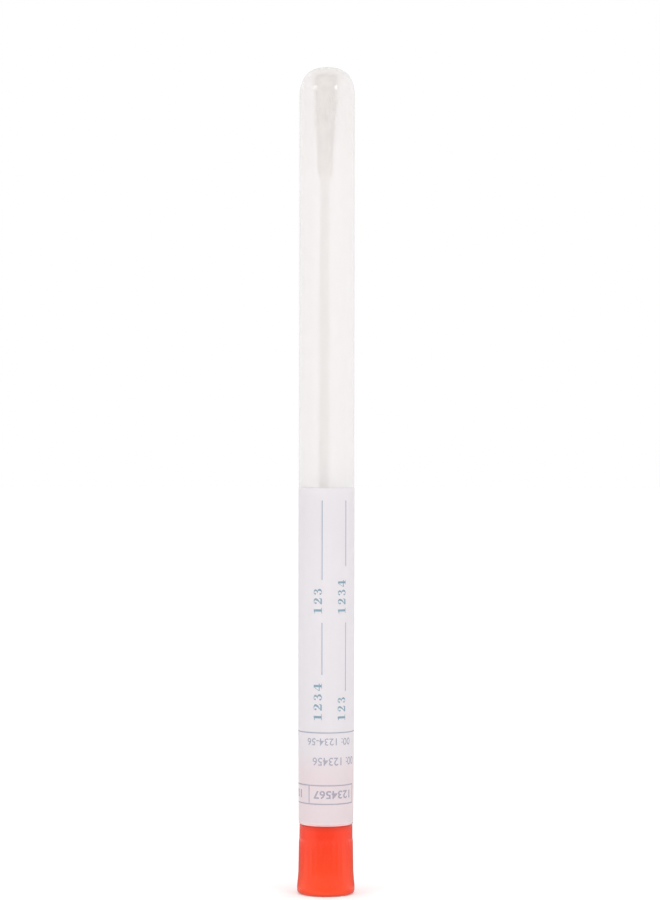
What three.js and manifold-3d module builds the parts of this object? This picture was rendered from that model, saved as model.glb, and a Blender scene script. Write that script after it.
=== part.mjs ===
// Specimen swab tube: a dry transport swab in its sample tube.
//
// The tube stands on the flat end of its push-in cap, with its round closed
// end up. +Z runs up the tube, the origin is the centre of the cap's flat end.
// All lengths are millimetres.
//
//   cap         one moulded stopper: head with fine grip ribs, plug with two
//               sealing beads, and a central socket that grips the stick
//   swab_shaft  moulded plastic stick, slightly bowed
//   swab_bud    fibre bud wound on the stick's end
//   tube        moulded translucent tube, open end down on the cap's shoulder
//   label       paper label wrapped once round the tube, lapped at the back

import * as THREE from 'three';
import { mergeVertices } from 'three/addons/utils/BufferGeometryUtils.js';
import Module from 'manifold-3d';

const wasm = await Module();
wasm.setup();

// ---------------------------------------------------------------- dimensions
const TOTAL_H = 175.0;          // flat end of the cap to the crown of the tube

// cap head
const BASE_FLAT_R = 5.15;       // flat the object stands on
const FLARE_R = 6.10;           // widest point, just above the end
const RIM_R = 5.635;            // plain band under the tube's mouth
const RIBS = 32;                // fine upright grip ribs round the head
const RIB_TOP_Z = 11.55;
const RIB_BOTTOM_Z = 1.9;       // where they run out into the flare
const RIB_CREST_TOP_R = 5.755;  // outside of the ribs at their top
const RIB_CREST_LOW_R = 5.86;   // and near the flare
const RIB_HALF_W = 0.30;
const SHOULDER_Z = 14.82;       // shoulder that the tube's mouth rests on
const SHOULDER_EDGE = 0.22;     // its outer edge is eased, which leaves a fine line under the mouth
const RIB_PHASE = 0.28;         // first rib, in rib pitches from +X

// cap plug, inside the tube
const PLUG_R = 5.05;
const BEAD_R = 5.12;            // two sealing beads round the plug
const PLUG_TOP_Z = 28.0;
const CORE_R = 4.05;            // moulded-out ring, open towards the tube
const CORE_FLOOR_Z = 4.0;
const BOSS_R = 2.30;            // central boss
const BOSS_TOP_Z = 26.0;
const SOCKET_R = 1.16;          // socket in the boss for the stick
const SOCKET_FLOOR_Z = 6.0;

// tube
const TUBE_R = 5.89;            // outside
const MOUTH_R = 5.74;           // outside at the mouth, drawn in a little
const BORE_R = 5.20;
const DOME_Z = 168.5;           // where the round end starts
const DOME_POWER = 2.5;         // fuller than a half sphere
const CROWN_WALL = 0.95;

// stick and bud
const SHAFT_R = 1.06;           // along the lower half
const SHAFT_END_R = 0.95;       // drawn finer towards the bud
const SHAFT_BOTTOM_Z = 6.1;
const SHAFT_TOP_Z = 168.6;
const BOW = 0.56;               // sideways bow of the stick, to -X
const BUD_BOTTOM_Z = 151.1;
const BUD_TOP_Z = 173.1;
const BUD_BORE_R = 1.06;

// label
const LABEL_BOTTOM_Z = 15.2;
const LABEL_TOP_Z = 85.9;
const LABEL_T = 0.045;
const LABEL_GAP = 0.012;
const LABEL_LAP_DEG = 18.75;    // lap at the back

const ROUND = 48;               // facets round the tube, the cap and the label

// ------------------------------------------------------------------- helpers
const smooth = (t) => {
  const u = Math.min(1, Math.max(0, t));
  return u * u * (3 - 2 * u);
};

// Sideways offset of the stick and the bud at height z.
function bow(z) {
  return -BOW * smooth((z - 26) / 59) * (1 - 0.5 * smooth((z - 130) / 40));
}

// Radius of the stick at height z.
function shaftRadius(z) {
  return SHAFT_R + (SHAFT_END_R - SHAFT_R) * smooth((z - 114) / 20);
}

// Outside radius of the tube below its round end.
function tubeRadius(z) {
  return MOUTH_R + (TUBE_R - MOUTH_R) * (1 - Math.pow(1 - Math.min(1, (z - SHOULDER_Z) / 45), 2));
}

// Radius of a round end of body radius R that starts at z0 and closes at z1.
function domeRadius(z, R, z0, z1) {
  const u = Math.min(1, Math.max(0, (z - z0) / (z1 - z0)));
  return R * Math.pow(1 - Math.pow(u, DOME_POWER), 1 / DOME_POWER);
}

// Turn the triangles to face out when the enclosed volume comes out negative.
function facingOut(geometry) {
  const g = geometry.index ? geometry.toNonIndexed() : geometry;
  const p = g.getAttribute('position');
  const a = new THREE.Vector3(), b = new THREE.Vector3(), c = new THREE.Vector3();
  let volume = 0;
  for (let i = 0; i < p.count; i += 3) {
    a.fromBufferAttribute(p, i);
    b.fromBufferAttribute(p, i + 1);
    c.fromBufferAttribute(p, i + 2);
    volume += a.dot(b.cross(c)) / 6;
  }
  if (volume < 0) {
    for (let i = 0; i < p.count; i += 3) {
      a.fromBufferAttribute(p, i + 1);
      b.fromBufferAttribute(p, i + 2);
      p.setXYZ(i + 1, b.x, b.y, b.z);
      p.setXYZ(i + 2, a.x, a.y, a.z);
    }
  }
  g.deleteAttribute('normal');
  if (g.getAttribute('uv')) g.deleteAttribute('uv');
  g.computeVertexNormals();
  return g;
}

// Body of revolution about +Z from [radius, z] pairs.
function turned(profile, segments) {
  const pts = profile.map(([r, z]) => new THREE.Vector2(r, z));
  const g = new THREE.LatheGeometry(pts, segments);
  g.rotateX(Math.PI / 2);       // the lathe's own axis is Y; this sets it to Z
  return g;
}

// Shift every point sideways by the stick's bow at its height.
function bowed(geometry) {
  const p = geometry.getAttribute('position');
  for (let i = 0; i < p.count; i++) p.setX(i, p.getX(i) + bow(p.getZ(i)));
  return geometry;
}

// A closed geometry as a solid that can be joined to another.
function solid(geometry) {
  const g = geometry.index ? geometry.toNonIndexed() : geometry.clone();
  g.deleteAttribute('normal');
  if (g.getAttribute('uv')) g.deleteAttribute('uv');
  const m = mergeVertices(g, 1e-5);
  const index = m.index.array;
  const tris = [];
  for (let i = 0; i < index.length; i += 3) {
    const [a, b, c] = [index[i], index[i + 1], index[i + 2]];
    if (a !== b && b !== c && c !== a) tris.push(a, b, c);
  }
  return new wasm.Manifold(new wasm.Mesh({
    numProp: 3,
    vertProperties: new Float32Array(m.getAttribute('position').array),
    triVerts: new Uint32Array(tris),
  }));
}

// The joined solid back as a geometry.
function fromSolid(s) {
  const m = s.getMesh();
  const g = new THREE.BufferGeometry();
  const xyz = new Float32Array((m.vertProperties.length / m.numProp) * 3);
  for (let i = 0; i < xyz.length / 3; i++) {
    for (let k = 0; k < 3; k++) xyz[i * 3 + k] = m.vertProperties[i * m.numProp + k];
  }
  g.setAttribute('position', new THREE.BufferAttribute(xyz, 3));
  g.setIndex(new THREE.BufferAttribute(new Uint32Array(m.triVerts), 1));
  return g;
}

function piece(name, geometry, material) {
  const mesh = new THREE.Mesh(facingOut(geometry), material);
  mesh.name = name;
  return mesh;
}

// ----------------------------------------------------------------- materials
const red = new THREE.MeshStandardMaterial({ color: 0xfd4e2f, roughness: 0.42, metalness: 0 });
const milky = new THREE.MeshStandardMaterial({ color: 0xf3f0ef, roughness: 0.3, metalness: 0, transparent: true, opacity: 0.45 });
const stick = new THREE.MeshStandardMaterial({ color: 0xece8e4, roughness: 0.45, metalness: 0 });
const fibre = new THREE.MeshStandardMaterial({ color: 0xeae5e0, roughness: 0.95, metalness: 0 });
const paper = new THREE.MeshStandardMaterial({ color: 0xe9e6ea, roughness: 0.7, metalness: 0 });

// ----------------------------------------------------------------------- cap
const capProfile = [
  [0, 0],
  [BASE_FLAT_R, 0],
  [5.52, 0.07], [5.80, 0.26], [5.99, 0.55], [FLARE_R - 0.02, 0.95],
  [FLARE_R, 1.35],
  [6.04, 2.2], [5.93, 3.2], [5.74, 4.6], [5.66, 7.0],
  [RIM_R, 11.8],
  [RIM_R, SHOULDER_Z - SHOULDER_EDGE],
  [RIM_R - 0.18, SHOULDER_Z - 0.09],
  [RIM_R - 0.24, SHOULDER_Z],
  [PLUG_R, SHOULDER_Z],
  [PLUG_R, 17.2], [BEAD_R, 17.6], [BEAD_R, 18.0], [PLUG_R, 18.4],
  [PLUG_R, 22.4], [BEAD_R, 22.8], [BEAD_R, 23.2], [PLUG_R, 23.6],
  [PLUG_R, 26.6], [4.72, PLUG_TOP_Z],
  [CORE_R + 0.12, PLUG_TOP_Z],
  [CORE_R - 0.10, CORE_FLOOR_Z + 0.6],
  [CORE_R - 0.50, CORE_FLOOR_Z],
  [BOSS_R + 0.35, CORE_FLOOR_Z],
  [BOSS_R + 0.10, CORE_FLOOR_Z + 0.4],
  [BOSS_R - 0.10, BOSS_TOP_Z],
  [SOCKET_R + 0.35, BOSS_TOP_Z],
  [SOCKET_R, BOSS_TOP_Z - 0.5],
  [SOCKET_R, SOCKET_FLOOR_Z],
  [0, SOCKET_FLOOR_Z],
];

// One grip rib on the +X side, drawn with its crest at radius 0 and its root
// sunk into the head. It slopes into the head at the top and runs out into
// the flare at the bottom.
function rib() {
  const s = new THREE.Shape();
  s.moveTo(-0.42, -RIB_HALF_W);
  s.lineTo(-0.13, -RIB_HALF_W);
  s.lineTo(-0.035, -RIB_HALF_W * 0.62);
  s.lineTo(0, 0);
  s.lineTo(-0.035, RIB_HALF_W * 0.62);
  s.lineTo(-0.13, RIB_HALF_W);
  s.lineTo(-0.42, RIB_HALF_W);
  s.closePath();
  const g = new THREE.ExtrudeGeometry(s, { depth: 4, steps: 4, bevelEnabled: false });
  const stations = [
    [RIB_BOTTOM_Z, 5.96], [3.2, 5.965], [4.6, RIB_CREST_LOW_R],
    [RIB_TOP_Z - 0.35, RIB_CREST_TOP_R], [RIB_TOP_Z, RIM_R - 0.02],
  ];
  const p = g.getAttribute('position');
  for (let i = 0; i < p.count; i++) {
    const [z, r] = stations[Math.round(p.getZ(i))];
    p.setXYZ(i, p.getX(i) + r, p.getY(i), z);
  }
  return facingOut(g);
}
let capSolid = solid(facingOut(turned(capProfile, ROUND)));
for (let k = 0; k < RIBS; k++) {
  const g = rib();
  g.rotateZ(((k + RIB_PHASE) * 2 * Math.PI) / RIBS);
  capSolid = capSolid.add(solid(g));
}
const cap = piece('cap', fromSolid(capSolid), red);

// ---------------------------------------------------------------------- tube
// One closed profile: up the inside of the crown on the axis, down the bore,
// across the mouth, up the outside and back to the axis.
const tubeProfile = [];
for (let i = 8; i >= 0; i--) {
  const a = (i / 8) * (Math.PI / 2);
  const z = DOME_Z + (TOTAL_H - CROWN_WALL - DOME_Z) * Math.sin(a);
  tubeProfile.push([i === 8 ? 0 : domeRadius(z, BORE_R, DOME_Z, TOTAL_H - CROWN_WALL), z]);
}
for (const z of [130, 90, 50, SHOULDER_Z]) tubeProfile.push([BORE_R, z]);
for (const z of [SHOULDER_Z, 20, 26, 33, 42, 55, 75, 110, 140]) tubeProfile.push([tubeRadius(z), z]);
for (let i = 0; i <= 10; i++) {
  const a = (i / 10) * (Math.PI / 2);
  const z = DOME_Z + (TOTAL_H - DOME_Z) * Math.sin(a);
  tubeProfile.push([i === 10 ? 0 : domeRadius(z, TUBE_R, DOME_Z, TOTAL_H), z]);
}
const tube = piece('tube', turned(tubeProfile, ROUND), milky);

// --------------------------------------------------------------------- stick
const section = new THREE.Shape();
section.absarc(0, 0, SHAFT_R, 0, 2 * Math.PI, false);
const shaftGeometry = new THREE.ExtrudeGeometry(section, {
  depth: SHAFT_TOP_Z - SHAFT_BOTTOM_Z, steps: 27, bevelEnabled: false, curveSegments: 14,
});
shaftGeometry.translate(0, 0, SHAFT_BOTTOM_Z);
{
  const p = shaftGeometry.getAttribute('position');
  for (let i = 0; i < p.count; i++) {
    const k = shaftRadius(p.getZ(i)) / SHAFT_R;
    p.setXYZ(i, p.getX(i) * k, p.getY(i) * k, p.getZ(i));
  }
}
const shaft = piece('swab_shaft', bowed(shaftGeometry), stick);

// ----------------------------------------------------------------------- bud
const budProfile = [
  [BUD_BORE_R, BUD_BOTTOM_Z],
  [1.24, BUD_BOTTOM_Z],
  [1.50, 152.7], [1.62, 155.5], [1.74, 158.2], [2.02, 161.6], [2.19, 164.6],
  [2.23, 167.6], [2.34, 169.4], [2.44, 170.8], [2.18, 172.0], [1.50, 172.8], [0.75, 173.05],
  [0, BUD_TOP_Z],
];
const budBore = [[0, SHAFT_TOP_Z + 0.15], [BUD_BORE_R, SHAFT_TOP_Z + 0.15]];
const bud = piece('swab_bud', bowed(turned([...budBore, ...budProfile], 24)), fibre);

// --------------------------------------------------------------------- label
// One strip that follows the tube once round and laps over its own start at
// the back. The section is drawn for the plain part of the tube, and each
// point is then drawn in with the tube towards its mouth.
const LAP_START = Math.PI / 2;                     // the back of the tube, +Y
const pitch = (2 * Math.PI) / ROUND;
const stations = [];                               // in facets from the start
for (let k = 0; k <= ROUND + Math.floor(LABEL_LAP_DEG / (360 / ROUND)); k++) stations.push(k);
stations.push(ROUND + LABEL_LAP_DEG / (360 / ROUND));
const labelInner = [], labelOuter = [];
for (const k of stations) {
  const a = LAP_START + k * pitch;
  const lift = smooth((k - (ROUND - 3)) / 2) * (LABEL_T + 0.02);
  const rIn = TUBE_R + LABEL_GAP + lift;
  labelInner.push([rIn, a]);
  labelOuter.push([rIn + LABEL_T, a]);
}
const strip = new THREE.Shape();
labelInner.forEach(([r, a], i) => {
  const x = r * Math.cos(a), y = r * Math.sin(a);
  if (i === 0) strip.moveTo(x, y); else strip.lineTo(x, y);
});
for (let i = labelOuter.length - 1; i >= 0; i--) {
  const [r, a] = labelOuter[i];
  strip.lineTo(r * Math.cos(a), r * Math.sin(a));
}
strip.closePath();
const labelGeometry = new THREE.ExtrudeGeometry(strip, {
  depth: LABEL_TOP_Z - LABEL_BOTTOM_Z, steps: 8, bevelEnabled: false,
});
labelGeometry.translate(0, 0, LABEL_BOTTOM_Z);
{
  const p = labelGeometry.getAttribute('position');
  for (let i = 0; i < p.count; i++) {
    const x = p.getX(i), y = p.getY(i), z = p.getZ(i);
    const r = Math.hypot(x, y);
    const k = (r - (TUBE_R - tubeRadius(z))) / r;
    p.setXYZ(i, x * k, y * k, z);
  }
}
const label = piece('label', labelGeometry, paper);

// ------------------------------------------------------------------ assembly
const swab = new THREE.Group();
swab.add(cap, shaft, bud);

const sleeve = new THREE.Group();
sleeve.add(tube, label);

const object = new THREE.Group();
object.name = 'specimen_swab_tube';
object.add(swab, sleeve);

export default object;
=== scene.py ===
import bpy
import math
import random
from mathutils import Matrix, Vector, noise
from mathutils.geometry import delaunay_2d_cdt


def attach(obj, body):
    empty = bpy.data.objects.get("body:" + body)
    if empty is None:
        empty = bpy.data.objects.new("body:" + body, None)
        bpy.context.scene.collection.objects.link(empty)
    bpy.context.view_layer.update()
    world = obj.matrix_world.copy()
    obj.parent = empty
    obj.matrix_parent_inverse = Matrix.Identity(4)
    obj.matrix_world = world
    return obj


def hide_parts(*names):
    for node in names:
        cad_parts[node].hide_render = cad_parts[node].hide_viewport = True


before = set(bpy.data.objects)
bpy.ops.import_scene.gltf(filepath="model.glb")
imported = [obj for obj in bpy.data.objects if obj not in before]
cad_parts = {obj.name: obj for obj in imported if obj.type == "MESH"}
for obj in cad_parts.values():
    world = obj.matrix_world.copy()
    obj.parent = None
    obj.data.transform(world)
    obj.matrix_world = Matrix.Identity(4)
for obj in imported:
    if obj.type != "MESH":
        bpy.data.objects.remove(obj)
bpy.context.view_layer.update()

MM = 0.001
PI = math.pi

# ---------------------------------------------------------------- dimensions
# Millimetres, the same driving sizes as the construction model.
TOTAL_H = 175.0
SHOULDER_Z = 14.82
TUBE_R, MOUTH_R, BORE_R = 5.89, 5.74, 5.20
DOME_Z, DOME_POWER, CROWN_WALL = 168.5, 2.5, 0.95
RIM_R, RIBS, RIB_PHASE = 5.635, 32, 0.28
SHAFT_R, SHAFT_END_R, SHAFT_BOTTOM, SHAFT_TOP, BOW = 1.06, 0.95, 6.1, 168.6, 0.56
BUD_BOTTOM, BUD_TOP, BUD_BORE = 151.1, 173.1, 1.06
LABEL_LOW, LABEL_HIGH = 15.2, 85.9
LABEL_T, LABEL_GAP = 0.055, 0.006


def smooth(t):
    u = min(1.0, max(0.0, t))
    return u * u * (3 - 2 * u)


def lerp_table(x, table):
    if x <= table[0][0]:
        return table[0][1]
    for (x0, y0), (x1, y1) in zip(table, table[1:]):
        if x <= x1:
            return y0 + (y1 - y0) * (x - x0) / (x1 - x0)
    return table[-1][1]


def bow(z):
    return -BOW * smooth((z - 26) / 59) * (1 - 0.5 * smooth((z - 130) / 40))


def shaft_radius(z):
    return SHAFT_R + (SHAFT_END_R - SHAFT_R) * smooth((z - 114) / 20)


def tube_radius(z):
    return MOUTH_R + (TUBE_R - MOUTH_R) * (1 - (1 - min(1.0, (z - SHOULDER_Z) / 45)) ** 2)


def dome_radius(z, r, z0, z1):
    u = min(1.0, max(0.0, (z - z0) / (z1 - z0)))
    return r * (1 - u ** DOME_POWER) ** (1 / DOME_POWER)


# -------------------------------------------------------------- mesh helpers
def make(name, verts, faces, mats, face_mats=None, sharp=35):
    me = bpy.data.meshes.new(name)
    me.from_pydata([(x * MM, y * MM, z * MM) for x, y, z in verts], [], faces)
    for m in mats:
        me.materials.append(m)
    if face_mats:
        me.polygons.foreach_set("material_index", face_mats)
    me.polygons.foreach_set("use_smooth", [True] * len(me.polygons))
    me.update()
    if sharp:
        me.set_sharp_from_angle(angle=math.radians(sharp))
    ob = bpy.data.objects.new(name, me)
    bpy.context.scene.collection.objects.link(ob)
    return ob


def rounded(points, steps=6):
    """(r, z, fillet) corners to a plain (r, z) line with each corner rounded."""
    out = []
    for i, (r, z, f) in enumerate(points):
        if f <= 0 or i in (0, len(points) - 1):
            out.append((r, z))
            continue
        p = Vector((r, z))
        a = Vector(points[i - 1][:2]) - p
        b = Vector(points[i + 1][:2]) - p
        t = min(f, a.length * 0.48, b.length * 0.48)
        p0, p2 = p + a.normalized() * t, p + b.normalized() * t
        for k in range(steps + 1):
            u = k / steps
            q = p0 * (1 - u) ** 2 + p * 2 * u * (1 - u) + p2 * u * u
            out.append((q.x, q.y))
    return out


def finer(line, longest):
    """Split runs longer than `longest`, keeping the corners."""
    out = [line[0]]
    for (r0, z0), (r1, z1) in zip(line, line[1:]):
        n = max(1, math.ceil(math.hypot(r1 - r0, z1 - z0) / longest))
        for k in range(1, n + 1):
            out.append((r0 + (r1 - r0) * k / n, z0 + (z1 - z0) * k / n))
    return out


def lathe(profile, n, shape=None):
    """A body turned about Z from a profile that starts and ends on the axis.
    Returns vertices, faces and, for each face, its place along the profile."""
    verts, rings, faces, along = [], [], [], []
    for i, (r, z) in enumerate(profile):
        if r < 1e-7:
            rings.append([len(verts)])
            verts.append((0.0, 0.0, z))
            continue
        ring = []
        for k in range(n):
            a = 2 * PI * k / n
            rr = r if shape is None else shape(i, r, z, a)
            ring.append(len(verts))
            verts.append((rr * math.cos(a), rr * math.sin(a), z))
        rings.append(ring)
    for i in range(len(rings) - 1):
        low, high = rings[i], rings[i + 1]
        for k in range(n):
            j = (k + 1) % n
            if len(low) == 1:
                faces.append((low[0], high[j], high[k]))
            elif len(high) == 1:
                faces.append((low[k], low[j], high[0]))
            else:
                faces.append((low[k], low[j], high[j], high[k]))
            along.append(i)
    return verts, faces, along


# ------------------------------------------------------------ shader helpers
class Tree:
    def __init__(self, name):
        self.mat = bpy.data.materials.new(name)
        self.mat.use_nodes = True
        self.nt = self.mat.node_tree
        self.nt.nodes.clear()
        self.out = self.nt.nodes.new("ShaderNodeOutputMaterial")

    def node(self, kind, **values):
        n = self.nt.nodes.new(kind)
        for k, v in values.items():
            setattr(n, k, v)
        return n

    def link(self, a, b):
        self.nt.links.new(a, b)

    def mm(self):
        """Object coordinates in millimetres."""
        c = self.node("ShaderNodeTexCoord")
        s = self.node("ShaderNodeVectorMath", operation="SCALE")
        s.inputs["Scale"].default_value = 1000.0
        self.link(c.outputs["Object"], s.inputs[0])
        return s.outputs[0]

    def stretch(self, vec, x, y, z):
        m = self.node("ShaderNodeVectorMath", operation="MULTIPLY")
        m.inputs[1].default_value = (x, y, z)
        self.link(vec, m.inputs[0])
        return m.outputs[0]

    def noise(self, vec, scale, detail=3.0, rough=0.55, distort=0.0):
        n = self.node("ShaderNodeTexNoise")
        n.inputs["Scale"].default_value = scale
        n.inputs["Detail"].default_value = detail
        n.inputs["Roughness"].default_value = rough
        n.inputs["Distortion"].default_value = distort
        self.link(vec, n.inputs["Vector"])
        return n.outputs["Fac"]

    def span(self, value, a, b, c, d, kind="LINEAR"):
        m = self.node("ShaderNodeMapRange", interpolation_type=kind)
        for i, v in zip((1, 2, 3, 4), (a, b, c, d)):
            m.inputs[i].default_value = v
        self.link(value, m.inputs[0])
        return m.outputs[0]

    def maths(self, op, a, b):
        m = self.node("ShaderNodeMath", operation=op)
        for i, v in enumerate((a, b)):
            if isinstance(v, (int, float)):
                m.inputs[i].default_value = v
            else:
                self.link(v, m.inputs[i])
        return m.outputs[0]

    def colour(self, fac, a, b):
        m = self.node("ShaderNodeMix", data_type="RGBA")
        self.link(fac, m.inputs[0])
        for i, v in ((6, a), (7, b)):
            if isinstance(v, tuple):
                m.inputs[i].default_value = (*v, 1)
            else:
                self.link(v, m.inputs[i])
        return m.outputs[2]

    def bump(self, height, strength, distance_mm, normal=None):
        b = self.node("ShaderNodeBump")
        b.inputs["Strength"].default_value = strength
        b.inputs["Distance"].default_value = distance_mm * MM
        self.link(height, b.inputs["Height"])
        if normal is not None:
            self.link(normal, b.inputs["Normal"])
        return b.outputs[0]

    def height(self):
        """Z of the object, in millimetres."""
        s = self.node("ShaderNodeSeparateXYZ")
        self.link(self.mm(), s.inputs[0])
        return s.outputs[2]

    def principled(self, **values):
        p = self.node("ShaderNodeBsdfPrincipled")
        for k, v in values.items():
            s = p.inputs[k.replace("_", " ")]
            if hasattr(v, "is_linked"):
                self.link(v, s)
            else:
                s.default_value = (*v, 1) if isinstance(v, tuple) and len(v) == 3 else v
        return p

    def mix(self, fac, a, b):
        m = self.node("ShaderNodeMixShader")
        if isinstance(fac, (int, float)):
            m.inputs[0].default_value = fac
        else:
            self.link(fac, m.inputs[0])
        self.link(a, m.inputs[1])
        self.link(b, m.inputs[2])
        return m.outputs[0]

    def done(self, shader):
        self.link(shader, self.out.inputs[0])
        return self.mat


# ------------------------------------------------------------------ materials
def milky(name, opacity, edge, body, crown, rough, coat, spread=0.40):
    """Milky translucent polypropylene: part of the light goes straight
    through, the rest is scattered in the wall."""
    t = Tree(name)
    vec = t.mm()
    cloud = t.noise(t.stretch(vec, 1, 1, 0.35), 0.16, 3)
    flow = t.noise(t.stretch(vec, 1, 1, 0.05), 1.6, 2)
    up = t.height()
    base = t.colour(t.span(cloud, 0.3, 0.7, 0, 1), body, tuple(c * 0.985 for c in body))
    # painted light: the wall's colour is lifted a little towards the top end, and over the lower part up to just
    # above the label's top edge
    ends = t.maths("ADD", t.span(up, 140.0, 166.0, 0.0, 1.0, "SMOOTHSTEP"), t.span(up, 84.0, 104.0, 0.7, 0.0, "SMOOTHSTEP"))
    base = t.colour(ends, base, tuple(min(0.97, c * 1.027) for c in body))
    base = t.colour(t.span(up, 171.8, 174.6, 0.0, 0.7, "SMOOTHSTEP"), base, crown)
    fine = t.noise(vec, 2.2, 4)
    bump = t.bump(t.maths("ADD", fine, t.maths("MULTIPLY", flow, 1.5)), 0.2, 0.010)
    p = t.principled(
        Base_Color=base,
        Roughness=t.span(flow, 0.3, 0.7, rough * 0.85, rough * 1.25),
        IOR=1.49,
        Coat_Weight=coat,
        Coat_Roughness=0.07,
        Coat_IOR=1.5,
        Normal=bump,
    )
    through = t.node("ShaderNodeBsdfTranslucent")
    t.link(base, through.inputs["Color"])
    clear = t.node("ShaderNodeBsdfTransparent")
    clear.inputs[0].default_value = (0.99, 0.987, 0.985, 1)
    face = t.node("ShaderNodeLayerWeight")
    face.inputs["Blend"].default_value = 0.35
    rim = t.maths("MULTIPLY", t.maths("POWER", face.outputs["Facing"], 2.0), edge)
    solid = t.maths("ADD", rim, t.span(cloud, 0.3, 0.7, opacity - 0.02, opacity + 0.02))
    solid = t.maths("MINIMUM", solid, 0.97)
    return t.done(t.mix(solid, clear.outputs[0], t.mix(spread, p.outputs[0], through.outputs[0])))


def red_plastic():
    """Orange-red moulded polyethylene with a fine satin skin."""
    t = Tree("cap_orange_red")
    vec = t.mm()
    broad = t.noise(vec, 0.22, 3)
    flow = t.noise(t.stretch(vec, 1, 1, 0.18), 1.1, 3)
    skin = t.noise(vec, 9.0, 4, 0.6)
    up = t.height()
    # painted light: the red is lighter and more orange towards the bottom, where the floor lights the cap more, and
    # darker towards the top
    base = t.colour(t.span(up, 1.0, 13.0, 0.0, 1.0), (0.90, 0.066, 0.010), (0.84, 0.032, 0.005))
    base = t.colour(t.span(broad, 0.3, 0.7, 0.0, 0.5), base, (0.82, 0.043, 0.008))
    base = t.colour(t.span(flow, 0.35, 0.75, 0.0, 0.25), base, (0.88, 0.054, 0.010))
    # painted shade: darker red from 13.3 mm up towards the tube's mouth, the shade under its overhanging rim
    base = t.colour(t.span(up, 13.3, 14.7, 0.0, 0.42, "SMOOTHSTEP"), base, (0.45, 0.026, 0.014))
    # painted shade: darker red at the bottom edge, the contact shade where the cap meets the floor
    base = t.colour(t.span(up, 0.0, 1.1, 0.42, 0.0, "SMOOTHSTEP"), base, (0.45, 0.050, 0.025))
    # painted shade: a further dark band just under the shoulder, widening the shadow line between cap and tube
    base = t.colour(t.span(up, 14.30, 14.55, 0.0, 0.35), base, (0.42, 0.026, 0.014))
    # painted light: the shoulder groove under the tube's mouth is given a lighter, paler red so that it reads less
    # dark than its shade
    base = t.colour(t.span(up, 14.50, 14.62, 0.0, 1.0), base, (0.93, 0.085, 0.055))
    # painted light: the plug inside the tube is a brighter red than the cap, so that more red light shows through the
    # label
    base = t.colour(t.span(up, 14.9, 15.3, 0.0, 1.0), base, (0.96, 0.055, 0.018))
    bump = t.bump(skin, 0.35, 0.010)
    bump = t.bump(flow, 0.30, 0.020, bump)
    p = t.principled(
        Base_Color=base,
        Roughness=t.span(skin, 0.3, 0.7, 0.22, 0.34),
        IOR=1.51,
        Specular_IOR_Level=0.08,
        Coat_Weight=1.0,
        Coat_Roughness=0.27,
        Coat_IOR=1.37,
        Normal=bump,
    )
    return t.done(p.outputs[0])


def white_stick():
    t = Tree("stick_white")
    vec = t.mm()
    flow = t.noise(t.stretch(vec, 1, 1, 0.06), 2.4, 3)
    skin = t.noise(vec, 7.0, 4)
    base = t.colour(t.span(flow, 0.3, 0.7, 0, 1), (0.755, 0.735, 0.71), (0.705, 0.685, 0.66))
    bump = t.bump(skin, 0.3, 0.010)
    bump = t.bump(flow, 0.4, 0.015, bump)
    p = t.principled(
        Base_Color=base,
        Roughness=t.span(skin, 0.3, 0.7, 0.32, 0.48),
        IOR=1.55,
        Normal=bump,
    )
    return t.done(p.outputs[0])


def wound_fibre():
    """Off-white fibre wound round the stick at a steep slant."""
    t = Tree("bud_fibre")
    vec = t.mm()
    # a slanted set of fine fibre lines, broken up by noise
    wander = t.noise(vec, 0.9, 3)
    sep = t.node("ShaderNodeSeparateXYZ")
    t.link(vec, sep.inputs[0])
    angle = t.maths("ARCTAN2", sep.outputs[1], sep.outputs[0])
    lines = t.maths(
        "ADD",
        t.maths("MULTIPLY", sep.outputs[2], 22.0),
        t.maths("ADD", t.maths("MULTIPLY", angle, 3.0), t.maths("MULTIPLY", wander, 26.0)),
    )
    wave = t.maths("SINE", lines, 0.0)
    tuft = t.noise(t.stretch(vec, 1, 1, 3.0), 5.0, 5, 0.7)
    h = t.maths("ADD", t.maths("MULTIPLY", wave, 0.35), t.maths("MULTIPLY", tuft, 1.3))
    base = t.colour(t.span(h, 0.2, 1.2, 0.0, 1.0), (0.95, 0.885, 0.83), (1.0, 0.955, 0.915))
    bump = t.bump(h, 0.8, 0.045)
    p = t.principled(
        Base_Color=base,
        Roughness=t.span(tuft, 0.3, 0.7, 0.80, 0.98),
        IOR=1.45,
        Specular_IOR_Level=0.2,
        Sheen_Weight=0.3,
        Sheen_Roughness=0.5,
        Normal=bump,
    )
    return t.done(p.outputs[0])


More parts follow.
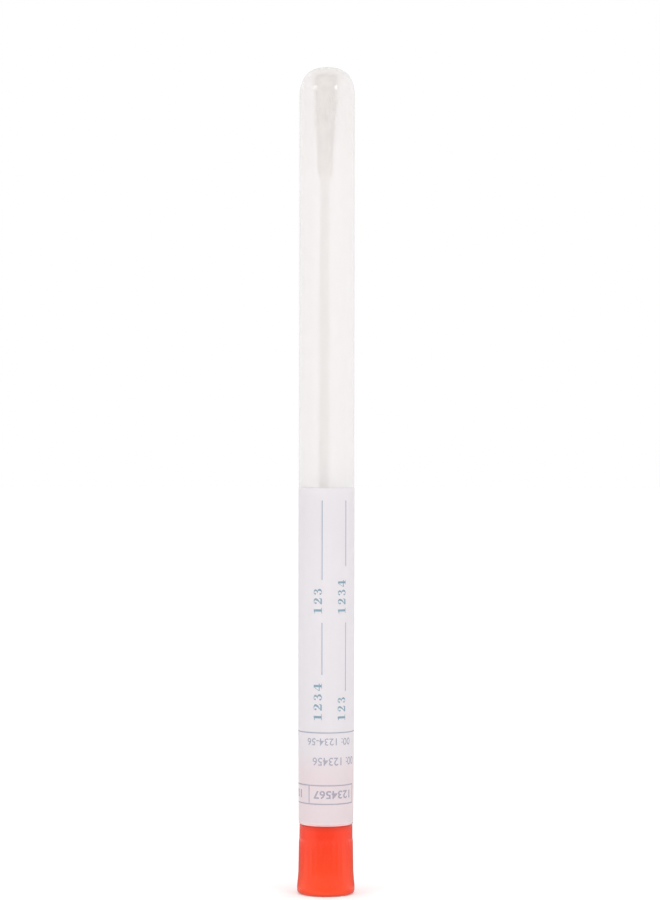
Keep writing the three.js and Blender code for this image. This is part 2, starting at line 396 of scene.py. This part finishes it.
def paper(name, tint, tint2, rough=0.62, open_share=0.0, through_share=0.45):
    """Label paper, or print on it: matt, faintly mottled, and thin enough
    for some light to come through from behind."""
    t = Tree(name)
    vec = t.mm()
    mottle = t.noise(vec, 0.5, 4)
    grain = t.noise(t.stretch(vec, 1, 1, 0.7), 6.5, 5, 0.65)
    base = t.colour(t.span(mottle, 0.3, 0.7, 0, 1), tint, tint2)
    base = t.colour(t.span(grain, 0.45, 0.8, 0.0, 0.35), base, tuple(c * 0.97 for c in tint2))
    base = t.colour(t.span(t.height(), 68.0, 85.9, 0.0, 1.0, "SMOOTHSTEP"), base, tuple(c * 0.95 for c in tint))
    bump = t.bump(grain, 0.35, 0.010)
    p = t.principled(
        Base_Color=base,
        Roughness=t.span(grain, 0.3, 0.7, rough - 0.08, rough + 0.12),
        IOR=1.45,
        Specular_IOR_Level=0.3,
        Normal=bump,
    )
    through = t.node("ShaderNodeBsdfTranslucent")
    t.link(base, through.inputs["Color"])
    body = t.mix(through_share, p.outputs[0], through.outputs[0])
    if not open_share:
        return t.done(body)
    clear = t.node("ShaderNodeBsdfTransparent")
    share = t.span(grain, 0.3, 0.7, open_share - 0.04, open_share + 0.04)
    return t.done(t.mix(share, body, clear.outputs[0]))


def pale_floor():
    t = Tree("floor_pale")
    vec = t.mm()
    n = t.noise(vec, 0.02, 3)
    base = t.colour(n, (0.93, 0.93, 0.93), (0.915, 0.915, 0.915))
    p = t.principled(
        Base_Color=base,
        Roughness=t.span(n, 0.3, 0.7, 0.75, 0.9),
        Specular_IOR_Level=0.1,
        Emission_Color=(1.0, 1.0, 1.0),
        Emission_Strength=0.13,
    )
    return t.done(p.outputs[0])


# Mean colours are linear.
PP_BODY = (0.908, 0.889, 0.889)
PP_CROWN = (0.80, 0.775, 0.755)
mat_pp_out = milky("tube_milky", 0.50, 0.28, PP_BODY, PP_CROWN, 0.17, 1.0)
mat_pp_in = milky("tube_milky_bore", 0.20, 0.10, PP_BODY, PP_CROWN, 0.22, 0.0)
# painted light: the rim of the mouth is pink and more solid than the wall, a painted red glow from the cap just below
# it
mat_pp_rim_painted_red = milky("tube_rim_painted_red_light", 0.88, 0.05, (1.0, 0.70, 0.71), PP_CROWN, 0.17, 1.0, 0.18)
mat_red = red_plastic()
mat_stick = white_stick()
mat_fibre = wound_fibre()
mat_paper = paper("label_paper", (0.955, 0.929, 0.957), (0.94, 0.914, 0.942))
mat_back = paper("label_back", (0.94, 0.92, 0.94), (0.93, 0.91, 0.93), 0.45, 0.80)
mat_blue = paper("print_blue", (0.26, 0.40, 0.49), (0.30, 0.44, 0.53), 0.5, 0.0, 0.30)
mat_rule = paper("print_rule", (0.42, 0.48, 0.59), (0.45, 0.51, 0.62), 0.5, 0.0, 0.30)
mat_grey = paper("print_grey", (0.45, 0.455, 0.545), (0.49, 0.49, 0.585), 0.5, 0.0, 0.30)

# ------------------------------------------------------------------------ cap
CREST = [(1.9, 5.96), (3.2, 5.965), (4.6, 5.86), (11.2, 5.755), (11.42, 5.74), (11.55, 5.66), (11.6, 5.60)]

head = rounded([
    (0.0, 0.10, 0), (0.62, 0.10, 0.05), (0.74, 0.0, 0.05),
    (5.15, 0.0, 0.25), (5.62, 0.06, 0.2), (5.89, 0.21, 0.15), (6.04, 0.48, 0.15),
    (6.09, 0.90, 0.2), (6.10, 1.35, 0.3), (6.04, 2.2, 0.4), (5.935, 3.2, 0.5),
    (5.795, 4.6, 0.9), (5.755, 7.0, 1.0), (5.70, 10.7, 0.5), (5.635, 11.95, 0.5),
    (5.635, 14.56, 0.07), (5.30, 14.64, 0.06), (5.30, SHOULDER_Z, 0.03), (5.05, SHOULDER_Z, 0.05),
], 5)
outer_count = len(head)
plug = rounded([
    (5.05, SHOULDER_Z + 0.05, 0),
    (5.05, 17.2, 0.3), (5.12, 17.8, 0.5), (5.05, 18.4, 0.3),
    (5.05, 22.4, 0.3), (5.12, 23.0, 0.5), (5.05, 23.6, 0.3),
    (5.05, 26.6, 0.5), (4.72, 28.0, 0.15),
    (4.17, 28.0, 0.12), (3.95, 4.6, 0.3), (3.55, 4.0, 0.3),
    (2.65, 4.0, 0.25), (2.40, 4.4, 0.3), (2.20, 26.0, 0.15),
    (1.51, 26.0, 0.1), (1.16, 25.5, 0.1), (1.16, 6.0, 0.1), (0.0, 6.0, 0),
], 4)
cap_line = finer(head, 0.45)
split = len(cap_line)
cap_line += finer([head[-1]] + plug, 8.0)[1:]


def ribbed(i, r, z, a):
    if i >= split or not 1.9 < z < 11.6 or r < 5.5:
        return r
    crest = lerp_table(z, CREST)
    if crest <= r:
        return r
    t = ((a / (2 * PI) * RIBS - RIB_PHASE + 0.5) % 1.0 - 0.5) * (2 * PI / RIBS) * 5.8 / 0.44
    if abs(t) >= 1:
        return r
    return r + 0.75 * (crest - r) * (0.5 + 0.5 * math.cos(PI * t))


v, f, along = lathe(cap_line, RIBS * 14, ribbed)
cap = make("cap_moulded", v, f, [mat_red], sharp=32)
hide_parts("cap")
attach(cap, "swab")

# ----------------------------------------------------------------------- tube
inner = [(dome_radius(DOME_Z + (TOTAL_H - CROWN_WALL - DOME_Z) * math.sin(a), BORE_R, DOME_Z, TOTAL_H - CROWN_WALL)
          if a < PI / 2 - 1e-6 else 0.0,
          DOME_Z + (TOTAL_H - CROWN_WALL - DOME_Z) * math.sin(a))
         for a in [PI / 2 * k / 36 for k in range(36, -1, -1)]]
inner += [(BORE_R, z) for z in (150, 120, 90, 60, 40, 25, 17)]
n_inner = len(inner)
mouth = [(BORE_R, SHOULDER_Z + 0.16), (BORE_R + 0.05, SHOULDER_Z + 0.05), (BORE_R + 0.15, SHOULDER_Z),
         (MOUTH_R - 0.05, SHOULDER_Z), (MOUTH_R - 0.015, SHOULDER_Z + 0.015), (MOUTH_R, SHOULDER_Z + 0.05)]
outer = [(tube_radius(z), z) for z in (15.0, 15.3, 15.6, 17, 19, 21.5, 24, 27, 30, 34, 38, 43, 48, 54, 60, 75, 90, 110, 130, 150)]
outer += [(dome_radius(z, TUBE_R, DOME_Z, TOTAL_H) if a < PI / 2 - 1e-6 else 0.0, z)
          for a in [PI / 2 * k / 40 for k in range(41)]
          for z in [DOME_Z + (TOTAL_H - DOME_Z) * math.sin(a)]]
v, f, along = lathe(inner + mouth + outer, 224)
n_rim = n_inner + len(mouth) + 1
kinds = [1 if i < n_inner else 2 if i < n_rim else 0 for i in along]
tube = make("tube_body", v, f, [mat_pp_out, mat_pp_in, mat_pp_rim_painted_red], kinds, sharp=20)
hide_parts("tube")
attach(tube, "tube")

# ---------------------------------------------------------------------- stick
rings = [SHAFT_BOTTOM + (SHAFT_TOP - SHAFT_BOTTOM) * k / 150 for k in range(151)]
line = [(0.0, SHAFT_BOTTOM), (SHAFT_R - 0.2, SHAFT_BOTTOM), (SHAFT_R - 0.06, SHAFT_BOTTOM + 0.06)]
line += [(shaft_radius(z), z) for z in rings[1:-1]]
line += [(SHAFT_END_R - 0.1, SHAFT_TOP - 0.15), (SHAFT_END_R - 0.35, SHAFT_TOP), (0.0, SHAFT_TOP)]


def parting(i, r, z, a):
    """Two hair-fine parting lines of the mould, front left and back right."""
    d = min(abs((a - 3.9 + PI) % (2 * PI) - PI), abs((a - 3.9 + 2 * PI) % (2 * PI) - PI))
    return r + 0.028 * math.exp(-((d * r / 0.07) ** 2)) + 0.010 * noise.noise(Vector((math.cos(a), math.sin(a), z * 0.25)))


v, f, along = lathe(line, 72, parting)
v = [(x + bow(z), y, z) for x, y, z in v]
shaft = make("swab_stick", v, f, [mat_stick], sharp=50)
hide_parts("swab_shaft")
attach(shaft, "swab")

# ------------------------------------------------------------------------ bud
BUD_TIP = 173.50
BUD = [(151.1, 1.11), (151.6, 1.15), (152.2, 1.24), (152.9, 1.38), (153.8, 1.43), (155.5, 1.45), (157.0, 1.46),
       (158.4, 1.52), (159.8, 1.58), (161.0, 1.71), (162.4, 1.79), (163.6, 1.78), (165.0, 1.88), (167.0, 1.90),
       (168.6, 1.90), (169.8, 1.95), (170.8, 2.12), (171.7, 2.28), (172.3, 2.30), (172.8, 2.16), (173.1, 1.88),
       (173.35, 1.40), (173.47, 0.75), (BUD_TIP, 0.0)]


def bud_radius(z):
    return lerp_table(z, BUD)


def winding(i, r, z, a):
    """Uneven lay of the wound fibre."""
    if r < BUD_BORE + 0.02:
        return r
    p = Vector((math.cos(a), math.sin(a), 0))
    lay = math.sin(z * 5.2 + a * 2 + 2.0 * noise.noise(Vector((p.x * 1.3, p.y * 1.3, z * 0.5))))
    lumps = noise.noise(Vector((p.x * 1.6 + 7, p.y * 1.6, z * 0.55)))
    tuft = noise.noise(Vector((p.x * 6, p.y * 6, z * 4.0)))
    fade = min(1.0, max(0.0, (r - 1.2) / 0.4))
    return r + (0.018 * lay + 0.045 * lumps + 0.028 * tuft) * (0.25 + 0.75 * fade) - 0.02 * fade


bud_line = [(0.0, SHAFT_TOP + 0.15), (BUD_BORE - 0.1, SHAFT_TOP + 0.15), (BUD_BORE, SHAFT_TOP)]
bud_line += [(BUD_BORE, z) for z in (160, BUD_BOTTOM + 0.02)]
z = BUD_BOTTOM
while z < 171.6:
    bud_line.append((bud_radius(z), z))
    z += 0.16
for k in range(26):
    a = PI / 2 * k / 25
    zz = 171.6 + (BUD_TIP - 171.6) * math.sin(a)
    bud_line.append((0.0 if k == 25 else bud_radius(zz), zz))
v, f, along = lathe(bud_line, 120, winding)
v = [(x + bow(z), y, z) for x, y, z in v]

# loose fibres: hair-fine closed threads that follow the winding and lift off
rnd = random.Random(20261122)


def thread(path, radius):
    """A three-sided thread with pointed ends."""
    base = len(v)
    v.append(tuple(path[0]))
    for i in range(1, len(path) - 1):
        d = (path[i + 1] - path[i - 1]).normalized()
        u = d.cross(Vector((0.3, 0.5, 0.81))).normalized()
        w = d.cross(u)
        for k in range(3):
            a = 2 * PI * k / 3
            v.append(tuple(path[i] + (u * math.cos(a) + w * math.sin(a)) * radius))
    v.append(tuple(path[-1]))
    m = len(path) - 2
    for k in range(3):
        j = (k + 1) % 3
        f.append((base, base + 1 + k, base + 1 + j))
        for i in range(m - 1):
            a = base + 1 + 3 * i
            f.append((a + k, a + 3 + k, a + 3 + j, a + j))
        a = base + 1 + 3 * (m - 1)
        f.append((a + k, base + 1 + 3 * m, a + j))


# the bud's outline, with the distance run along it
outline, run = [], 0.0
for (z0, r0), (z1, r1) in zip(BUD, BUD[1:]):
    outline.append((run, r0, z0))
    run += math.hypot(r1 - r0, z1 - z0)
outline.append((run, 0.0, BUD_TIP))


def off_bud(s, lift):
    """A point `lift` off the core, a distance `s` along its outline. The bud is
    off the tube's axis by the stick's bow, so the bow comes off its room in the dome."""
    here, ahead, behind = ([lerp_table(t, [(q[0], q[k]) for q in outline]) for k in (1, 2)]
                           for t in (s, s + 0.35, s - 0.35))
    d = Vector((ahead[0] - behind[0], ahead[1] - behind[1])).normalized()
    r, z = here[0] + d.y * lift, here[1] - d.x * lift
    z = min(z, 173.86)
    room = dome_radius(z, BORE_R, DOME_Z, TOTAL_H - CROWN_WALL) - abs(bow(z)) - 0.06
    return max(BUD_BORE + 0.02, min(r, 2.95, room)), z


for n in range(5400):
    s0 = 0.3 + (run - 2.0) * rnd.random() ** 0.85
    a0 = rnd.random() * 2 * PI
    turn = (0.4 + 0.7 * rnd.random()) * (1 if rnd.random() < 0.8 else -1)
    rise = rnd.uniform(-0.9, 1.3)
    thick = lerp_table(s0, [(0.0, 0.05), (1.6, 0.17), (8.0, 0.21), (11.0, 0.38), (run - 3.2, 0.38), (run - 1.6, 0.20), (run, 0.10)])
    lift = thick * min(3.0, -math.log(1.0 - rnd.random()))
    path = []
    for k in range(6):
        t = k / 5
        off = lift * (0.3 + 0.7 * math.sin(PI * t)) if n % 2 else lift * t ** 1.3
        r, zz = off_bud(s0 + rise * t + 0.08 * math.sin(5 * t + a0), off + 0.01)
        aa = a0 + turn * t
        path.append(Vector((r * math.cos(aa) + bow(zz), r * math.sin(aa), zz)))
    thread(path, rnd.uniform(0.010, 0.018))
bud = make("swab_bud_wound", v, f, [mat_fibre], sharp=None)
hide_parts("swab_bud")
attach(bud, "swab")

# ---------------------------------------------------------------------- label
# The print is set out on the flat strip: across is the angle round the tube
# in degrees, 0 at the front and growing towards +X, and up is the height.
ARC = 5.93 * PI / 180            # millimetres to a degree
START, END = -180.0, 198.75      # the strip laps over its own start
shapes = []                      # (polygon in (angle, z), ink)


def bar(a0, a1, z0, z1, ink):
    shapes.append(([(a0, z0), (a1, z0), (a1, z1), (a0, z1)], ink))


def rule(a, z0, z1, width, ink):
    w = width / ARC / 2
    bar(a - w, a + w, z0, z1, ink)


def ring_line(a0, a1, z, width, ink):
    bar(a0, a1, z - width / 2, z + width / 2, ink)


BLUE, RULE, GREY = 1, 2, 3

rule(-8.7, 46.7, 57.6, 0.20, RULE)
rule(-8.7, 66.65, 83.3, 0.20, RULE)
rule(43.3, 43.2, 57.6, 0.20, RULE)
rule(43.3, 69.5, 83.3, 0.20, RULE)
ring_line(-168, 168, 34.5, 0.24, GREY)
BOX_A0, BOX_MID, BOX_A1 = -95.0, -37.5, 68.5
for zz in (19.5, 23.4):
    ring_line(BOX_A0 - 1.2, BOX_A1 + 1.2, zz, 0.24, GREY)
for aa in (BOX_A0, BOX_MID, BOX_A1):
    rule(aa, 19.62, 23.28, 0.24, GREY)


# Bold numerals with thick and thin strokes, each in a box 1 high.
def stroke(points, steps=6):
    """A run of quads along a smooth line of (x, y, width)."""
    pts = []
    n = len(points)
    for i in range(n - 1):
        p0, p1 = points[max(i - 1, 0)], points[i]
        p2, p3 = points[i + 1], points[min(i + 2, n - 1)]
        for k in range(steps):
            t = k / steps
            pts.append(tuple(
                0.5 * (2 * b + (c - a) * t + (2 * a - 5 * b + 4 * c - d) * t * t + (3 * b - a - 3 * c + d) * t ** 3)
                for a, b, c, d in zip(p0, p1, p2, p3)))
    pts.append(points[-1])
    left, right = [], []
    for i, (x, y, w) in enumerate(pts):
        a, b = pts[max(i - 1, 0)], pts[min(i + 1, len(pts) - 1)]
        d = Vector((b[0] - a[0], b[1] - a[1])).normalized()
        left.append((x - d.y * w / 2, y + d.x * w / 2))
        right.append((x + d.y * w / 2, y - d.x * w / 2))
    return [[left[i], right[i], right[i + 1], left[i + 1]] for i in range(len(pts) - 1)]


def box(x0, y0, x1, y1):
    return [[(x0, y0), (x1, y0), (x1, y1), (x0, y1)]]


def dot(x, y, r):
    return [[(x + r * math.cos(2 * PI * k / 10), y + r * math.sin(2 * PI * k / 10)) for k in range(10)]]


BOLD = {
    "1": box(0.24, 0.04, 0.46, 0.98) + box(0.08, 0.0, 0.62, 0.07)
    + [[(0.06, 0.82), (0.26, 0.84), (0.46, 0.98), (0.40, 1.0), (0.30, 0.98), (0.06, 0.87)]],
    "2": stroke([(0.13, 0.74, 0.05), (0.17, 0.90, 0.06), (0.34, 0.965, 0.07), (0.50, 0.88, 0.16), (0.53, 0.70, 0.20),
                 (0.42, 0.47, 0.15), (0.22, 0.24, 0.08), (0.10, 0.10, 0.07)])
    + dot(0.17, 0.73, 0.095) + box(0.06, 0.0, 0.58, 0.17) + [[(0.52, 0.0), (0.60, 0.0), (0.66, 0.32), (0.60, 0.32)]],
    "3": stroke([(0.13, 0.80, 0.05), (0.19, 0.92, 0.06), (0.34, 0.965, 0.07), (0.49, 0.87, 0.14), (0.50, 0.72, 0.17),
                 (0.42, 0.58, 0.09), (0.26, 0.53, 0.05)])
    + stroke([(0.26, 0.53, 0.05), (0.44, 0.50, 0.09), (0.55, 0.36, 0.17), (0.54, 0.20, 0.19), (0.40, 0.05, 0.09),
              (0.24, 0.03, 0.06), (0.13, 0.14, 0.06)])
    + dot(0.17, 0.80, 0.085) + dot(0.17, 0.19, 0.09),
    "4": box(0.40, 0.03, 0.60, 0.98) + box(0.05, 0.25, 0.72, 0.36) + box(0.28, 0.0, 0.72, 0.06)
    + [[(0.05, 0.36), (0.05, 0.27), (0.46, 0.98), (0.40, 0.99)]],
}


def caption(text, top, base, z0, z1):
    """Numerals that read upwards between z0 and z1, from angle base to top."""
    pitch = (z1 - z0) / (len(text) - 0.22)
    wide = pitch * 0.78
    for k, c in enumerate(text):
        for poly in BOLD[c]:
            shapes.append(([(base + (top - base) * y, z0 + k * pitch + x / 0.70 * wide) for x, y in poly], BLUE))


caption("1234", -26.4, -8.9, 37.0, 44.8)
caption("123", -26.4, -8.9, 59.45, 64.85)
caption("123", 24.2, 42.6, 37.0, 42.0)
caption("1234", 24.2, 42.6, 59.45, 66.5)


# Plain thin numerals, drawn from the built-in face, read upside down.
def plain(text, weight):
    cu = bpy.data.curves.new("numerals", "FONT")
    cu.body = text
    cu.offset = weight
    cu.resolution_u = 3
    ob = bpy.data.objects.new("numerals", cu)
    bpy.context.scene.collection.objects.link(ob)
    bpy.context.view_layer.update()
    me = ob.evaluated_get(bpy.context.evaluated_depsgraph_get()).to_mesh()
    pts = [(p.co.x, p.co.y) for p in me.vertices]
    polys = [[pts[i] for i in p.vertices] for p in me.polygons]
    bpy.data.objects.remove(ob)
    bpy.data.curves.remove(cu)
    return polys


def numbers(text, a_left, z_low, z_high, a_right=None, wide=1.0, weight=0.008):
    """Numerals turned upside down: the last one ends at angle a_left."""
    polys = plain(text, weight)
    xs = [x for p in polys for x, y in p]
    ys = [y for p in polys for x, y in p]
    x1, y0, y1, x0 = max(xs), min(ys), max(ys), min(xs)
    k = (z_high - z_low) / (y1 - y0)
    sx = k * wide / ARC if a_right is None else (a_right - a_left) / (x1 - x0)
    for p in polys:
        shapes.append(([(a_left + (x1 - x) * sx, z_high - (y - y0) * k) for x, y in p], GREY))


numbers("00: 1234-56", -41.0, 31.85, 33.35, wide=1.02)
numbers("00: 123456", -28.6, 27.6, 29.3, wide=0.98)
numbers("1234567", -27.0, 20.6, 22.35, a_right=57.5, weight=0.022)
numbers("10", -84.0, 20.6, 22.35, a_right=-60.0, weight=0.022)

# the flat strip, cut along a fine grid and along the print
pts, edges = [], []


def cut(line, closed=True):
    first, n = len(pts), len(line)
    pts.extend(Vector((a * ARC, z)) for a, z in line)
    edges.extend((first + i, first + (i + 1) % n) for i in range(n if closed else n - 1))


cut([(START, LABEL_LOW), (END, LABEL_LOW), (END, LABEL_HIGH), (START, LABEL_HIGH)])
for poly, ink in shapes:
    cut(poly)
columns = 152
for k in range(1, columns):
    a = START + (END - START) * k / columns
    cut([(a, LABEL_LOW), (a, LABEL_HIGH)], False)
for k in range(1, 14):
    zz = LABEL_LOW + (LABEL_HIGH - LABEL_LOW) * k / 14
    cut([(START, zz), (END, zz)], False)
flat, _, tris, _, _, _ = delaunay_2d_cdt(pts, edges, [], 0, 1e-5)

# which shape, if any, each triangle's middle falls in
bands = {}
for poly, ink in shapes:
    zs = [z for a, z in poly]
    for b in range(int(min(zs) / 0.5), int(max(zs) / 0.5) + 1):
        bands.setdefault(b, []).append((min(a for a, z in poly), max(a for a, z in poly), poly, ink))


def ink_at(a, z):
    best = 0
    for a0, a1, poly, ink in bands.get(int(z / 0.5), ()):
        if not a0 <= a <= a1:
            continue
        inside = False
        for (x0, y0), (x1, y1) in zip(poly, poly[1:] + poly[:1]):
            if (y0 > z) != (y1 > z) and a < x0 + (x1 - x0) * (z - y0) / (y1 - y0):
                inside = not inside
        if inside:
            best = ink if best in (0, GREY) else best
    return best


def strip_radius(angle, z):
    lift = smooth((angle - 157.5) / 15.0) * (LABEL_T + 0.02)
    return tube_radius(z) + LABEL_GAP + lift


v, f, mats_of = [], [], []
count = len(flat)
for extra in (LABEL_T, 0.0):
    for p in flat:
        a, z = p.x / ARC, p.y
        r = strip_radius(a, z) + extra
        t = math.radians(a)
        v.append((r * math.sin(t), -r * math.cos(t), z))
rim = {}
for tri in tris:
    mid = sum((flat[i] for i in tri), Vector((0, 0))) / len(tri)
    ink = ink_at(mid.x / ARC, mid.y)
    tri = list(tri)
    p = [flat[i] for i in tri]
    if (p[1] - p[0]).cross(p[2] - p[0]) < 0:
        tri.reverse()
    f.append(tuple(tri))
    mats_of.append(ink)
    f.append(tuple(i + count for i in reversed(tri)))
    mats_of.append(4)
    n = len(tri)
    for i in range(n):
        a, b = tri[i], tri[(i + 1) % n]
        if (b, a) in rim:
            del rim[(b, a)]
        else:
            rim[(a, b)] = True
for a, b in rim:
    f.append((b, a, a + count, b + count))
    mats_of.append(0)
label = make("label_wrap", v, f, [mat_paper, mat_blue, mat_rule, mat_grey, mat_back], mats_of, sharp=40)
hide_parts("label")
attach(label, "tube")

# ---------------------------------------------------------------------- stage
n = 96
v = [(0, 0, 0)] + [(6000 * math.cos(2 * PI * k / n), 6000 * math.sin(2 * PI * k / n), 0) for k in range(n)]
f = [(0, 1 + k, 1 + (k + 1) % n) for k in range(n)]
floor = make("floor", v, f, [pale_floor()], sharp=None)

world = bpy.data.worlds.new("soft_studio")
bpy.context.scene.world = world
world.use_nodes = True
world.node_tree.nodes["Background"].inputs[0].default_value = (1.0, 1.0, 1.0, 1)
world.node_tree.nodes["Background"].inputs[1].default_value = 1.0


def softbox(name, azimuth, elevation, distance, wide, high, radiance):
    """azimuth is counted from the camera's side, growing towards +X."""
    a, e = math.radians(azimuth), math.radians(elevation)
    d = Vector((math.sin(a) * math.cos(e), -math.cos(a) * math.cos(e), math.sin(e)))
    li = bpy.data.lights.new(name, "AREA")
    li.shape = "RECTANGLE"
    li.size = wide
    li.size_y = high
    li.energy = PI * wide * high * radiance
    ob = bpy.data.objects.new(name, li)
    bpy.context.scene.collection.objects.link(ob)
    ob.location = Vector((0, 0, 0.17)) + d * distance
    ob.rotation_mode = "QUATERNION"
    ob.rotation_quaternion = (-d).to_track_quat("-Z", "Y")
    ob.visible_camera = False
    return ob


softbox("softbox_left", -51, 20, 1.3, 0.32, 0.17, 11)
softbox("softbox_right", 38.5, 20, 1.3, 0.32, 0.17, 13.5)


def flag(name, corners, grey, soft=None):
    """A flag beside the object, seen only in its reflections, that gives
    its edges something darker than the studio to reflect. A soft one fades
    out towards the front, along the line (x, y), and away from the cap."""
    t = Tree(name)
    e = t.node("ShaderNodeEmission")
    e.inputs[0].default_value = (grey, grey, grey, 1)
    if soft:
        e.inputs[0].default_value = (1, 1, 1, 1)
        vec = t.mm()
        at = t.node("ShaderNodeVectorMath", operation="DOT_PRODUCT")
        at.inputs[1].default_value = (*soft, 0)
        t.link(vec, at.inputs[0])
        far = t.node("ShaderNodeVectorMath", operation="LENGTH")
        t.link(vec, far.inputs[0])
        share = t.maths("MULTIPLY", t.span(at.outputs["Value"], -2.5, 1.2, 0.0, 1.0, "SMOOTHSTEP"),
                        t.span(far.outputs["Value"], 8.5, 13.5, 1.0, 0.0, "SMOOTHSTEP"))
        t.link(t.span(share, 0.0, 1.0, 1.0, grey), e.inputs[1])
    ob = make(name, corners, [(0, 1, 2, 3)], [t.done(e.outputs[0])], sharp=None)
    ob.visible_camera = False
    ob.visible_diffuse = False
    ob.visible_shadow = False
    ob.visible_transmission = False


flag("flag_left", [(-90, 5, 0.3), (-5, 5, 0.3), (-5, 90, 0.3), (-90, 90, 0.3)], 0.22)
flag("flag_right", [(5, 5, 0.3), (90, 5, 0.3), (90, 110, 0.3), (5, 110, 0.3)], 0.20)
flag("flag_back_left", [(-430, 250, 2), (-130, 480, 2), (-130, 480, 275), (-430, 250, 275)], 0.75)
flag("flag_back_right", [(130, 480, 2), (430, 250, 2), (430, 250, 275), (130, 480, 275)], 0.75)
flag("flag_base_left", [(-3.7, -6.0, 0.25), (-4.5, 5, 0.25), (-14, 5, 0.25), (-10.6, -10.9, 0.25)], 0.38, (-0.592, 0.806))
flag("flag_base_right", [(3.7, -6.0, 0.25), (10.6, -10.9, 0.25), (14, 5, 0.25), (4.5, 5, 0.25)], 0.38, (0.592, 0.806))
flag("flag_front", [(-130, -320, 0.3), (130, -320, 0.3), (40, -12, 0.3), (-40, -12, 0.3)], 0.03)

cam_data = bpy.data.cameras.new("camera")
cam_data.lens = 106.0
cam_data.sensor_width = 36.0
cam_data.sensor_fit = "AUTO"
camera = bpy.data.objects.new("camera", cam_data)
bpy.context.scene.collection.objects.link(camera)
camera.location = (0.00072, -0.562, 0.0939)
camera.rotation_euler = (PI / 2, -0.0018, 0)
bpy.context.scene.camera = camera

bpy.context.scene.view_settings.view_transform = "Standard"
bpy.context.scene.cycles.use_denoising = True
